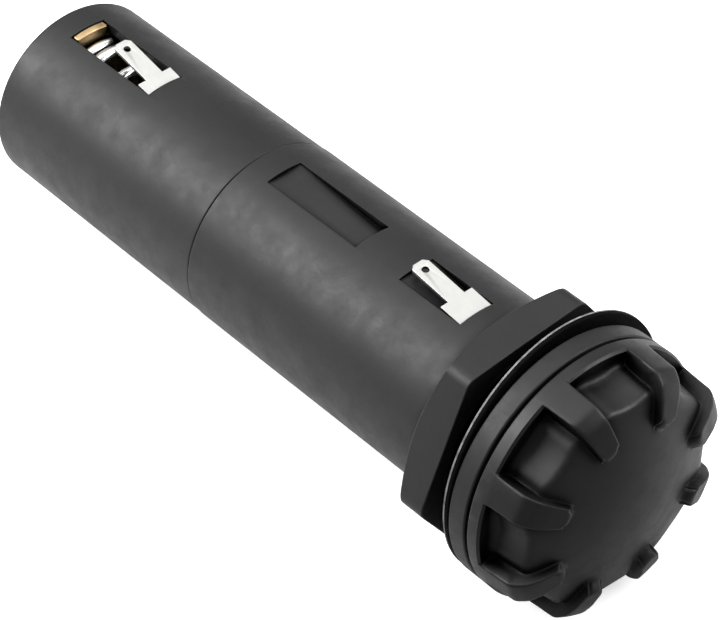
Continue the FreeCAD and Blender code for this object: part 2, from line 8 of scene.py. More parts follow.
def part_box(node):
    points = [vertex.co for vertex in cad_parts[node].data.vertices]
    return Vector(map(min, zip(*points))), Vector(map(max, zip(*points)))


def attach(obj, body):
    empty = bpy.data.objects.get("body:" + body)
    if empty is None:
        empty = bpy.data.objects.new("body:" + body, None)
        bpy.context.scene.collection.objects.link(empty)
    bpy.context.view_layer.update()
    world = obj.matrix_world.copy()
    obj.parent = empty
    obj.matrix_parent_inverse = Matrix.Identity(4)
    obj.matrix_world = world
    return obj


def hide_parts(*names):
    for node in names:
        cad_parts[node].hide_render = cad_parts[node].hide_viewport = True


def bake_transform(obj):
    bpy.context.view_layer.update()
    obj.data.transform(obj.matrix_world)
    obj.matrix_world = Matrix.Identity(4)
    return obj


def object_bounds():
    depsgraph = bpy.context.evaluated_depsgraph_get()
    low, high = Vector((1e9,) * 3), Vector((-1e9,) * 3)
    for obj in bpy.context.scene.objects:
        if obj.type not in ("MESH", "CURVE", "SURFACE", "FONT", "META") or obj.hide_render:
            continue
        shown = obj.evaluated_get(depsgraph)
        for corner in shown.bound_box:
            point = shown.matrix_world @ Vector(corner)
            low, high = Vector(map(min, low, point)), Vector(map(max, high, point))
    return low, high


# Panel-mount cartridge fuse holder. Shapes are worked out in millimetres in the frame's own axes:
# the barrel's axis is Y, the knob is at -Y, the tabs are on +Z.
# Angles are in degrees round the axis, from +Z towards -X.

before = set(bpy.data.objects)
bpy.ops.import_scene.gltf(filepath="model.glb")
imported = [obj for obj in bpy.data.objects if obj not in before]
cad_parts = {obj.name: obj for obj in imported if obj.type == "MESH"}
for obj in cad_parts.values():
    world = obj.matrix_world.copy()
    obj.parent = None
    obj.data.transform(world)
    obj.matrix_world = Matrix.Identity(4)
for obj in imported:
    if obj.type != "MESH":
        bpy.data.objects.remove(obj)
cad_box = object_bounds()

MM = 0.001


def span(node, axis):
    """Lowest and highest value of a CAD node along an axis, in millimetres."""
    low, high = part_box(node)
    return low[axis] / MM, high[axis] / MM


# ---- sizes

# Barrel, neck and rear sleeve
BARREL_R = 14.0
BORE_R = 11.2
FLANGE_R = span("front_barrel", 2)[1]
FLANGE_FRONT = span("front_barrel", 1)[0]
FLANGE_REAR = -1.54
NECK_R = 14.9
NECK_ROOT_R = 14.2
THREAD_PITCH = 1.5
THREAD_Y = (1.3, 8.8)
SEAM_Y = span("rear_sleeve", 1)[0]
SPIGOT_R = 12.2
SPIGOT_END = span("front_barrel", 1)[1]
SLEEVE_FRONT_R = 13.92
SLEEVE_REAR_R = 13.85
SLEEVE_FIT = 0.05
SEAM_GAP = 0.1
REAR_END = span("rear_sleeve", 1)[1]
REAR_BORE_R = 12.35
REAR_BORE_Y = 78.0
END_WALL_Y = 96.8
DISH_R = 9.0
DISH_DEPTH = 0.4

# Pockets and the window on the +Z side, and the recesses for the tabs' feet
POCKET_HALF = 2.87
FRONT_POCKET = (13.3, 24.8)
FRONT_SLOT_END = 16.5
BLANK_POCKET = (33.3, 51.0)
REAR_WINDOW = (76.2, 93.7)
SHALLOW_Z = 13.45
FRONT_LOW_Z = 11.7
BLANK_LOW_Z = 12.3
FOOT_RECESS_HALF = 2.6
FOOT_RECESS_R = 12.35
FOOT_RECESS_BACK = 5.5
FOOT_RECESS_LENGTH = 6.4

# Bayonet channels and keyway in the mouth
MOUTH_CHAMFER = 0.25
CHANNEL_R = 12.35
CHANNEL_Y = (1.9, 4.7)
ENTRY_HALF = 13.5
TWIST = 42.0
KEYWAY_R = 12.25
KEYWAY_HALF_ANGLE = 8.2
KEYWAY_END = 12.2

# Knob
KNOB_R = 18.6
KNOB_REAR = -4.9
RIM_FRONT = -7.0
CROWN_R = 15.8
CROWN_MID_R = 15.2
CROWN_ROUND = 1.2
DOME_Y = span("knob_cap", 1)[0]
DOME_SPHERE_R = 41.5
RIBS = 8
RIB_PHASE = 17.5

# Nut and gasket. The gasket's shift is along X, Y and Z, and its tip is in degrees about Z.
NUT_AF = 33.8
NUT_Y = span("panel_nut", 1)
NUT_PHASE = 4.0
NUT_BORE_R = 14.95
NUT_GROOVE_R = 15.5
NUT_CORNER_ANGLE = 3.2
GASKET_R = (15.7, span("panel_gasket", 2)[1])
GASKET_THICK = 0.8
GASKET_TIP = 2.0
GASKET_SHIFT = (0.35, -0.05, 0.5)
GASKET_LINE = 0.28

# Spring, its seat and the plunger
SPRING_FRONT_R = 9.3
SPRING_REAR_R = 11.3
SPRING_WIRE_R = 0.9
SPRING_Y = (72.12, 91.53)
SPRING_CLOSED_PITCH = 1.95
SPRING_OPEN_PITCH = 4.6
SPRING_END_ANGLE = 11.0
PLUNGER_FLANGE_R = 10.5
PLUNGER_FLANGE_Y = (70.0, 71.2)
PLUNGER_STEM_R = 5.0
PLUNGER_SLEEVE_R = (7.4, 8.2)
PLUNGER_SLEEVE_END = 74.8
SEAT_FACE_Y = 92.45
SEAT_R = 12.25
SEAT_LUG_R = 13.75
SEAT_LUG_HALF = 2.6
SEAT_HOLE_R = 3.0
SEAT_WALL = 0.8
SEAT_SHEET = 1.0
SEAT_LUG_SHEET = 1.15

# Fuse
FUSE_Y = (15.0, 66.0)
CAP_R = 7.15
CAP_WALL = 0.35
CAP_END = 0.5
CAP_LENGTH = 13.0
TUBE_R = 6.75
TUBE_BORE_R = 5.2

# A radius below this counts as a point on the axis
ON_AXIS = 1e-6


# ---- mesh helpers

def polar(r, y, angle):
    """Point in millimetres at a radius, a place along the axis and an angle in degrees."""
    a = math.radians(angle)
    return (-r * math.sin(a), y, r * math.cos(a))


def clamped(value):
    return min(1.0, max(0.0, value))


def interpolate(x, xs, ys):
    """Value at x of the broken line through the points (xs, ys)."""
    for (x0, x1), (y0, y1) in zip(zip(xs, xs[1:]), zip(ys, ys[1:])):
        if x <= x1:
            return y0 + (y1 - y0) * max(0.0, (x - x0) / (x1 - x0))
    return ys[-1]


def rounded(points, steps=4):
    """Outline points (r, y, fillet) with each corner turned into an arc of its fillet radius."""
    result = []
    count = len(points)
    for k, (r, y, fillet) in enumerate(points):
        if not fillet or k in (0, count - 1):
            result.append((r, y))
            continue
        here = Vector((r, y))
        before = Vector(points[k - 1][:2]) - here
        after = Vector(points[k + 1][:2]) - here
        corner = before.angle(after) / 2
        if corner > math.radians(89):
            result.append((r, y))
            continue
        reach = fillet / math.tan(corner)
        reach = min(reach, before.length * 0.49, after.length * 0.49)
        radius = reach * math.tan(corner)
        inward = (before.normalized() + after.normalized()).normalized()
        centre = here + inward * (radius / math.sin(corner))
        start = here + before.normalized() * reach - centre
        sweep = start.angle_signed(here + after.normalized() * reach - centre)
        for s in range(steps + 1):
            turned = start.copy()
            turned.rotate(Matrix.Rotation(-sweep * s / steps, 2))
            result.append(tuple(centre + turned))
    return result


def mesh_object(name, verts, faces, sharp=35.0):
    """Mesh object in metres from points in millimetres, smooth except at sharp edges."""
    mesh = bpy.data.meshes.new(name)
    mesh.from_pydata([tuple(c * MM for c in v) for v in verts], [], faces)
    mesh.validate()
    mesh.update()
    mesh.shade_smooth()
    mesh.set_sharp_from_angle(angle=math.radians(sharp))
    obj = bpy.data.objects.new(name, mesh)
    bpy.context.scene.collection.objects.link(obj)
    return obj


class Skin:
    """Collects rings of points round the axis and the faces between them."""

    def __init__(self):
        self.verts = []
        self.faces = []

    def ring(self, points):
        first = len(self.verts)
        self.verts += points
        return list(range(first, first + len(points)))

    def turned(self, r, y, angles, at=polar):
        """Ring of one radius at the given angles, or a single point if it lies on the axis."""
        return self.ring([at(r, y, a) for a in angles] if r > ON_AXIS else [(0, y, 0)])

    def join(self, a, b, skip=()):
        """Faces from ring a to ring b. A ring of one point is a pole."""
        n = max(len(a), len(b))
        for c in range(n):
            if c in skip:
                continue
            d = (c + 1) % n
            if len(a) == 1:
                self.faces.append((a[0], b[d], b[c]))
            elif len(b) == 1:
                self.faces.append((a[c], a[d], b[0]))
            else:
                self.faces.append((a[c], a[d], b[d], b[c]))

    def chain(self, rings, closed=False):
        pairs = list(zip(rings, rings[1:]))
        if closed:
            pairs.append((rings[-1], rings[0]))
        for a, b in pairs:
            self.join(a, b)

    def build(self, name, sharp=35.0):
        return mesh_object(name, self.verts, self.faces, sharp)


def lathe(name, outline, segments=128, closed=True, sharp=35.0):
    """Turned piece from outline points (r, y). Points on the axis become poles."""
    skin = Skin()
    angles = [360 * k / segments for k in range(segments)]
    skin.chain([skin.turned(r, y, angles) for r, y in outline], closed=closed)
    return skin.build(name, sharp)


def joined(name, parts):
    """One object from the meshes of several."""
    work = bmesh.new()
    for part in parts:
        work.from_mesh(part.data)
    bmesh.ops.remove_doubles(work, verts=work.verts, dist=1e-7)
    mesh = bpy.data.meshes.new(name)
    work.to_mesh(mesh)
    work.free()
    for part in parts:
        bpy.data.objects.remove(part)
    mesh.shade_smooth()
    obj = bpy.data.objects.new(name, mesh)
    bpy.context.scene.collection.objects.link(obj)
    return obj


def face_outwards(obj):
    """Recalculates the face normals, then marks the sharp edges again."""
    work = bmesh.new()
    work.from_mesh(obj.data)
    bmesh.ops.recalc_face_normals(work, faces=work.faces)
    work.to_mesh(obj.data)
    work.free()
    obj.data.set_sharp_from_angle(angle=math.radians(35))


def dress(obj, body, material, slot_name, *nodes):
    """Gives a finished piece its normals, material and body, and hides the CAD nodes it stands for."""
    face_outwards(obj)
    weighted = obj.modifiers.new("weighted", "WEIGHTED_NORMAL")
    weighted.keep_sharp = True
    obj.data.materials.clear()
    obj.data.materials.append(material)
    if body:
        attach(obj, body)
    if nodes:
        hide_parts(*nodes)
    return obj


# ---- materials

def feed(socket, value):
    """Sets an input to a value, or links it to the output that feeds it."""
    if isinstance(value, bpy.types.NodeSocket):
        socket.id_data.links.new(value, socket)
    elif isinstance(value, tuple) and len(socket.default_value) == 4:
        socket.default_value = (*value, 1)
    else:
        socket.default_value = value


def set_inputs(node, inputs):
    for key, value in inputs.items():
        feed(node.inputs[key], value)


def add(tree, kind, inputs=None, **settings):
    node = tree.nodes.new(kind)
    for key, value in settings.items():
        setattr(node, key, value)
    set_inputs(node, inputs or {})
    return node


def node_material(name):
    material = bpy.data.materials.new(name)
    material.use_nodes = True
    tree = material.node_tree
    tree.nodes.clear()
    shader = add(tree, "ShaderNodeBsdfPrincipled")
    add(tree, "ShaderNodeOutputMaterial", {0: shader.outputs[0]})
    return material, tree, shader


def coordinates(tree, stretch=(1, 1, 1)):
    """Object coordinates in millimetres."""
    where = add(tree, "ShaderNodeTexCoord").outputs["Object"]
    scale = tuple(s / MM for s in stretch)
    return add(tree, "ShaderNodeMapping", {"Vector": where, "Scale": scale}).outputs["Vector"]


def noise(tree, vector, scale, detail=4.0, rough=0.55):
    inputs = {"Vector": vector, "Scale": scale, "Detail": detail, "Roughness": rough}
    return add(tree, "ShaderNodeTexNoise", inputs).outputs["Fac"]


def ramp(tree, value, stops):
    node = add(tree, "ShaderNodeValToRGB", {0: value})
    for element, (position, colour) in zip(node.color_ramp.elements, stops):
        element.position = position
        element.color = (*colour, 1)
    return node.outputs[0]


def grey(value):
    return (value, value, value)


def cool_grey(value):
    return (value, value, value * 1.05)


def math_node(tree, operation, a, b):
    return add(tree, "ShaderNodeMath", {0: a, 1: b}, operation=operation).outputs[0]


def weighed(tree, a, share, b):
    """Sum of a share of a and the rest of b."""
    rest = math_node(tree, "MULTIPLY", b, 1 - share)
    return math_node(tree, "ADD", math_node(tree, "MULTIPLY", a, share), rest)


def gradient(tree, value, start, end):
    """Runs from start (value, result) to end (value, result) and stays flat outside them."""
    inputs = {"Value": value, "From Min": start[0], "From Max": end[0], "To Min": start[1], "To Max": end[1]}
    return add(tree, "ShaderNodeMapRange", inputs).outputs[0]


def mixed(tree, factor, a, b, blend="MIX"):
    node = add(tree, "ShaderNodeMix", data_type="RGBA", blend_type=blend)
    set_inputs(node, {0: factor, 6: a, 7: b})
    return node.outputs[2]


def edge_mask(tree, radius):
    """1 on convex and concave edges within a radius in millimetres, 0 on plain faces."""
    soft = add(tree, "ShaderNodeBevel", {"Radius": radius * MM}, samples=6).outputs[0]
    plain = add(tree, "ShaderNodeNewGeometry").outputs["Normal"]
    dot = add(tree, "ShaderNodeVectorMath", {0: soft, 1: plain}, operation="DOT_PRODUCT")
    away = math_node(tree, "SUBTRACT", 1.0, dot.outputs["Value"])
    return gradient(tree, away, (0.02, 0.0), (0.25, 1.0))


def recess_shade_factor(tree, reach, dark=0.65, light=0.96, own_only=True):
    """Factor for painted shade: 1 where a surface lies open, falling towards 0 in recesses. Reach in
    millimetres.
    """
    node = add(tree, "ShaderNodeAmbientOcclusion", {"Distance": reach * MM}, samples=8, only_local=own_only)
    return ramp(tree, node.outputs["AO"], [(dark, grey(0.05)), (light, grey(1.0))])


def bump(tree, height, strength, distance, **more):
    """Surface normal bumped by a height map, over another normal if more holds one."""
    inputs = {"Height": height, "Strength": strength, "Distance": distance * MM, **more}
    return add(tree, "ShaderNodeBump", inputs).outputs[0]


def moulded_plastic(name, dark, light, rough, wear_amount, grain=1.0, reach=4.0):
    """Satin moulded plastic: cloudy tone, fine spark-eroded grain, rubbed edges, and painted shade that
    darkens recesses to dull black.
    """
    material, tree, shader = node_material(name)
    at = coordinates(tree)
    cloud = noise(tree, at, 0.09, 5, 0.6)
    speck = noise(tree, at, 2.2, 3, 0.6)
    blotch = noise(tree, at, 0.3, 5, 0.65)
    base = ramp(tree, weighed(tree, cloud, 0.6, speck), [(0.36, cool_grey(dark)), (0.64, cool_grey(light))])
    scuff = ramp(tree, noise(tree, at, 0.8, 6, 0.7), [(0.4, grey(0.15)), (0.62, grey(1.0))])
    wear_and_painted_highlight = math_node(tree, "MULTIPLY", edge_mask(tree, 0.35), scuff)
    worn = mixed(tree, math_node(tree, "MULTIPLY", wear_and_painted_highlight, wear_amount), base, cool_grey(0.16))
    # Painted shade: recesses darken the colour and weaken the reflections.
    painted_shade = recess_shade_factor(tree, reach)
    patches = weighed(tree, speck, 0.3, blotch)
    fine = bump(tree, noise(tree, at, 5.5, 3, 0.6), 0.5 * grain, 0.012)
    set_inputs(shader, {
        "Base Color": mixed(tree, 1.0, worn, painted_shade, "MULTIPLY"),
        "Roughness": ramp(tree, patches, [(0.35, grey(rough - 0.08)), (0.65, grey(rough + 0.08))]),
        "Specular IOR Level": math_node(tree, "MULTIPLY", painted_shade, 0.4),
        "Normal": bump(tree, speck, 0.35 * grain, 0.03, Normal=fine),
    })
    return material


def metal(name, colour, tarnish, rough, brushed, tarnish_amount=0.5):
    """Metal with brushed or drawn lines, tarnish in patches, bright edges, and painted shade in recesses."""
    material, tree, shader = node_material(name)
    patches = noise(tree, coordinates(tree), 0.35, 6, 0.65)
    stain = ramp(tree, patches, [(0.38, grey(0.0)), (0.72, grey(tarnish_amount))])
    bright = mixed(tree, edge_mask(tree, 0.12), colour, tuple(min(1, c * 1.25) for c in colour))
    stained = mixed(tree, stain, bright, tarnish)
    # Painted shade: recesses and the gaps beside other parts darken the colour.
    painted_shade = recess_shade_factor(tree, 3.0, 0.3, 0.85, own_only=False)
    lines = noise(tree, coordinates(tree, brushed), 3.0, 4, 0.6)
    set_inputs(shader, {
        "Base Color": mixed(tree, 1.0, stained, painted_shade, "MULTIPLY"),
        "Metallic": 1.0,
        "Roughness": ramp(tree, lines, [(0.25, grey(rough - 0.07)), (0.75, grey(rough + 0.1))]),
        "Normal": bump(tree, lines, 0.25, 0.008),
    })
    return material


def soft_rubber():
    """Matt black rubber, with a painted highlight: a pale band round the gasket's rear outer edge."""
    material, tree, shader = node_material("soft_rubber")
    at = coordinates(tree)
    dark = ramp(tree, noise(tree, at, 0.5, 5, 0.6), [(0.35, cool_grey(0.0012)), (0.7, cool_grey(0.003))])
    part = add(tree, "ShaderNodeSeparateXYZ", {0: at}).outputs
    across = add(tree, "ShaderNodeCombineXYZ", {"X": part["X"], "Z": part["Z"]}).outputs[0]
    radius = add(tree, "ShaderNodeVectorMath", {0: across}, operation="LENGTH").outputs["Value"]
    # Painted highlight: the band at the gasket's rear outer edge is coloured pale.
    rear = math_node(tree, "GREATER_THAN", part["Y"], -GASKET_LINE)
    rim = math_node(tree, "GREATER_THAN", radius, GASKET_R[1] - 0.1)
    wear_and_painted_highlight = ramp(tree, noise(tree, at, 0.6, 5, 0.6), [(0.35, grey(0.1)), (0.65, grey(0.3))])
    set_inputs(shader, {
        "Base Color": mixed(tree, math_node(tree, "MULTIPLY", rear, rim), dark, wear_and_painted_highlight),
        "Roughness": ramp(tree, noise(tree, at, 3.0, 3), [(0.3, grey(0.62)), (0.7, grey(0.8))]),
        "Specular IOR Level": 0.05,
        "Normal": bump(tree, noise(tree, at, 4.0, 4), 0.4, 0.02),
    })
    return material


def mineral(name, dark, light, rough, grain_scale, grain_depth):
    """Ceramic or sand: speckled tone and a fired or granular surface."""
    material, tree, shader = node_material(name)
    at = coordinates(tree)
    speck = noise(tree, at, grain_scale, 6, 0.7)
    shade = math_node(tree, "MULTIPLY", edge_mask(tree, 0.3), 0.3)
    gloss = [(0.3, grey(rough - 0.08)), (0.7, grey(rough + 0.08))]
    set_inputs(shader, {
        "Base Color": mixed(tree, shade, ramp(tree, speck, [(0.3, dark), (0.7, light)]), dark),
        "Roughness": ramp(tree, noise(tree, at, 1.0, 3), gloss),
        "Normal": bump(tree, speck, 0.5, grain_depth),
    })
    return material


DRAWN = (1, 0.15, 1)
TURNED = (1, 8, 1)
FINE = (2, 2, 2)

HOUSING = moulded_plastic("housing_plastic", 0.005, 0.01, 0.5, 0.2, reach=1.8)
NUT = moulded_plastic("nut_plastic", 0.004, 0.008, 0.48, 0.35)
KNOB = moulded_plastic("knob_plastic", 0.002, 0.005, 0.42, 0.2, grain=0.7)
CARRIER = moulded_plastic("carrier_plastic", 0.03, 0.05, 0.55, 0.5)
RUBBER = soft_rubber()
TIN = metal("tinned_strip", (0.56, 0.56, 0.545), (0.45, 0.44, 0.42), 0.42, DRAWN, 0.35)
BRASS = metal("contact_brass", (0.83, 0.64, 0.36), (0.36, 0.22, 0.11), 0.3, TURNED, 0.6)
DULL_BRASS = metal("dull_brass", (0.66, 0.48, 0.26), (0.2, 0.12, 0.06), 0.42, TURNED, 0.9)
BRONZE = metal("clip_bronze", (0.74, 0.46, 0.28), (0.4, 0.24, 0.14), 0.3, DRAWN)
WIRE = metal("spring_wire", (0.82, 0.82, 0.8), (0.5, 0.48, 0.42), 0.2, FINE, 0.35)
NICKEL = metal("nickel_caps", (0.78, 0.76, 0.72), (0.55, 0.52, 0.46), 0.2, TURNED, 0.3)
SILVER = metal("element_silver", (0.9, 0.9, 0.88), (0.6, 0.58, 0.55), 0.25, DRAWN)
CERAMIC = mineral("fuse_ceramic", (0.62, 0.6, 0.56), (0.84, 0.83, 0.8), 0.42, 0.7, 0.015)
SAND = mineral("quartz_sand", (0.5, 0.44, 0.35), (0.78, 0.73, 0.64), 0.8, 2.5, 0.15)


# ---- barrel and rear sleeve

# Rows and columns across a pocket's wall: distances inside its outline, and the drops at its lip.
WALL_STEPS = (-0.14, -0.04, 0.0, 0.02, 0.04, 0.14)
WALL_DROPS = (0.0, 0.03, 0.14)
WINDOW_EDGE_DEPTH = 1.2
# Columns keep their X at every radius up to the first angle, and fade into radial ones up to the second.
FLAT_REACH = 13.6
FADE_REACH = 34.0
COLUMN_STEP = 2.6


def top_columns():
    """Column angles across the side that carries the pockets, dense at the pockets' side walls."""
    xs = [0, 0.8, 1.6, 2.3, FOOT_RECESS_HALF - 0.02, FOOT_RECESS_HALF + 0.02, 3.2]
    xs += [POCKET_HALF - d for d in WALL_STEPS]
    angles = [math.degrees(math.asin(x / BARREL_R)) for x in xs]
    return sorted({round(s * a, 4) for a in angles for s in (-1, 1)})


def shell_columns(extra_edges=()):
    """All column angles from -180 to 180."""
    angles = set(top_columns())
    fill = FLAT_REACH + 1.0
    while fill < 180:
        angles |= {round(fill, 3), round(-fill, 3)}
        fill += COLUMN_STEP
    angles.add(180.0)
    for edge in extra_edges:
        signed = (edge + 180) % 360 - 180
        angles |= {round(signed - 0.15, 3), round(signed + 0.15, 3)}
    return sorted(angles)


def place(r, y, angle):
    """Point on a column. Near the pockets a column keeps its X whatever the radius."""
    if abs(angle) < FADE_REACH:
        keep = min(1.0, (FADE_REACH - abs(angle)) / (FADE_REACH - FLAT_REACH))
        x = BARREL_R * math.sin(math.radians(angle))
        level = math.degrees(math.asin(max(-1.0, min(1.0, x / r))))
        angle = angle + keep * (level - angle)
    return polar(r, y, angle)


def wall_drop(inside, depth):
    """How far the surface falls at a distance inside a pocket's outline."""
    levels = WALL_DROPS + tuple(depth - drop for drop in reversed(WALL_DROPS))
    return max(0.0, min(depth, interpolate(inside, WALL_STEPS, levels)))


def sunk(point, pockets):
    """Lowers a point of the outer surface where it lies in a pocket (y0, y1, z0, z1)."""
    x, y, z = point
    if z <= 0:
        return point
    for y0, y1, z0, z1 in pockets:
        inside = min(POCKET_HALF - abs(x), y - y0, y1 - y)
        depth = z - (z0 + (z1 - z0) * clamped((y - y0) / (y1 - y0)))
        if inside > WALL_STEPS[0] and depth > 0:
            return (x, y, z - wall_drop(inside, depth))
    return point


def eased(point, window):
    """Rounds the outer surface over the edges of an open window (y0, y1)."""
    x, y, z = point
    inside = min(POCKET_HALF - abs(x), y - window[0], window[1] - y)
    if z > 0 and WALL_STEPS[0] < inside <= WALL_STEPS[-2]:
        return (x, y, z - wall_drop(inside, WINDOW_EDGE_DEPTH))
    return point


def spaced(low, high, step):
    """Places strictly between low and high, about a step apart."""
    count = max(1, round((high - low) / step))
    return [low + (high - low) * k / count for k in range(1, count)]


def pocket_rows(y0, y1):
    """Places along the axis for a pocket's walls and floor."""
    rows = [y0 + d for d in WALL_STEPS] + [y1 - d for d in WALL_STEPS]
    return rows + spaced(y0 + 0.3, y1 - 0.3, 1.5)


def shell(outer, inner, half, opening):
    """Tube wall from matching outer and inner rows, open within half of X = 0 between two places."""
    skin = Skin()
    outside = [skin.ring(row) for row in outer]
    inside = [skin.ring(row) for row in inner]
    count = len(outer[0])

    def opened(j, c):
        a, b = outer[j][c], outer[j + 1][(c + 1) % count]
        return a[2] > 0 and abs(a[0] + b[0]) / 2 < half and opening[0] < (a[1] + b[1]) / 2 < opening[1]

    cells = {(j, c) for j in range(len(outer) - 1) for c in range(count) if opened(j, c)}
    for j in range(len(outer) - 1):
        skip = {c for c in range(count) if (j, c) in cells}
        skin.join(outside[j], outside[j + 1], skip)
        skin.join(inside[j + 1], inside[j], skip)
    for j, c in sorted(cells):
        d = (c + 1) % count
        sides = (
            ((j, (c - 1) % count), (j, c), (j + 1, c)),
            ((j, d), (j, d), (j + 1, d)),
            ((j - 1, c), (j, c), (j, d)),
            ((j + 1, c), (j + 1, c), (j + 1, d)),
        )
        for beside, (ja, ca), (jb, cb) in sides:
            if beside not in cells:
                skin.faces.append((outside[ja][ca], outside[jb][cb], inside[jb][cb], inside[ja][ca]))
    return skin, outside, inside


def thread_groove(angle, y, low, high, fade):
    """Depth of a helical thread's groove, 0 to 1, fading out towards both ends."""
    turn = (y / THREAD_PITCH - angle / 360) % 1.0
    groove = 1 - clamped((abs(turn - 0.5) - 0.1) / 0.3)
    return groove * clamped(min((y - low) / fade, (high - y) / fade))


def neck_r(angle, y):
    return NECK_R - (NECK_R - NECK_ROOT_R) * thread_groove(angle, y, *THREAD_Y, 0.6)


def within(angle, centre, half):
    """True if an angle is within half of a centre, counted round the circle."""
    return abs((angle - centre + 180) % 360 - 180) <= half


def mouth_r(angle, y):
    """Radius of the barrel's bore, with the bayonet channels, keyway and recess for the tab's foot."""
    low, high = CHANNEL_Y
    for side in (90, 270):
        if y <= high and within(angle, side, ENTRY_HALF):
            return CHANNEL_R
        if low <= y <= high and within(angle, side - TWIST / 2, ENTRY_HALF + TWIST / 2):
            return CHANNEL_R
    if y <= KEYWAY_END and within(angle, 180, KEYWAY_HALF_ANGLE):
        return KEYWAY_R
    if in_foot_recess(angle, y, FRONT_POCKET[0]):
        return FOOT_RECESS_R
    return BORE_R


def in_foot_recess(angle, y, pocket_y):
    """True in the recess that a tab's foot lies in, in front of the pocket that starts at pocket_y."""
    start = pocket_y - FOOT_RECESS_BACK
    x = BARREL_R * math.sin(math.radians(angle))
    return abs(angle) < 90 and abs(x) <= FOOT_RECESS_HALF and start <= y <= start + FOOT_RECESS_LENGTH


def increasing(values, least=0.02):
    """The same places, spread so that each is past the one before."""
    result = [values[0]]
    for v in values[1:]:
        result.append(max(v, result[-1] + least))
    return result


def stretched(values, low, high):
    """The same places, stretched to run from low to high."""
    first, last = values[0], values[-1]
    return [low + (v - first) * (high - low) / (last - first) for v in values]


def front_barrel():
    """Barrel with flange, threaded neck, two pockets, bayonet mouth and the spigot that the sleeve fits."""
    edges = [90 - ENTRY_HALF - TWIST, 90 - ENTRY_HALF, 90 + ENTRY_HALF]
    edges += [e + 180 for e in edges] + [180 - KEYWAY_HALF_ANGLE, 180 + KEYWAY_HALF_ANGLE]
    columns = shell_columns(edges)
    profile = rounded([
        (BORE_R + MOUTH_CHAMFER, FLANGE_FRONT, 0),
        (FLANGE_R, FLANGE_FRONT, 0.3),
        (FLANGE_R, FLANGE_REAR, 0.3),
        (NECK_ROOT_R, FLANGE_REAR, 0.1),
        (NECK_ROOT_R, 0.0, 0),
        (NECK_R, 0.0, 0.12),
        (NECK_R, THREAD_Y[0], 0),
    ])
    low, high = THREAD_Y
    profile += [(None, y) for y in spaced(low, high, 0.1)]
    neck_end = high + 1.6
    profile += rounded([
        (NECK_R, high, 0), (NECK_R, high + 0.3, 0.1), (BARREL_R, high + 0.9, 0.1), (BARREL_R, neck_end, 0),
    ])
    recess_end = FRONT_POCKET[0] - FOOT_RECESS_BACK + FOOT_RECESS_LENGTH
    ys = [y + s for y in (KEYWAY_END, recess_end) for s in (-0.02, 0.02)] + [FRONT_SLOT_END]
    ys += pocket_rows(*FRONT_POCKET) + pocket_rows(*BLANK_POCKET)
    ys += spaced(neck_end, FRONT_POCKET[0] - 0.5, 1.0)
    ys += spaced(FRONT_POCKET[1] + 1.2, BLANK_POCKET[0] - 0.3, 2)
    ys += spaced(BLANK_POCKET[1] + 0.5, SEAM_Y - 0.3, 1.5)
    profile += [(BARREL_R, y) for y in sorted(set(ys))]
    profile += rounded([
        (BARREL_R, SEAM_Y - 0.3, 0),
        (BARREL_R, SEAM_Y, 0.28),
        (SPIGOT_R, SEAM_Y, 0.1),
        (SPIGOT_R, SPIGOT_END, 0.3),
        (BORE_R + 0.1, SPIGOT_END, 0),
    ])
    pockets = [(*FRONT_POCKET, FRONT_LOW_Z, SHALLOW_Z), (*BLANK_POCKET, BLANK_LOW_Z, SHALLOW_Z)]
    outer = []
    for r, y in profile:
        outer.append([sunk(place(r or neck_r(a, y), y, a), pockets) for a in columns])
    bore_y = stretched(increasing([y for _, y in profile]), FLANGE_FRONT + MOUTH_CHAMFER, SPIGOT_END)
    inner = [[place(mouth_r(a, y), y, a) for a in columns] for y in bore_y]
    slot_y = (FRONT_POCKET[0] + 0.03, FRONT_SLOT_END)
    skin, outside, inside = shell(outer, inner, POCKET_HALF - 0.05, slot_y)
    skin.join(inside[0], outside[0])
    skin.join(outside[-1], inside[-1])
    dress(skin.build("barrel_moulding"), "housing", HOUSING, "housing_plastic", "front_barrel")


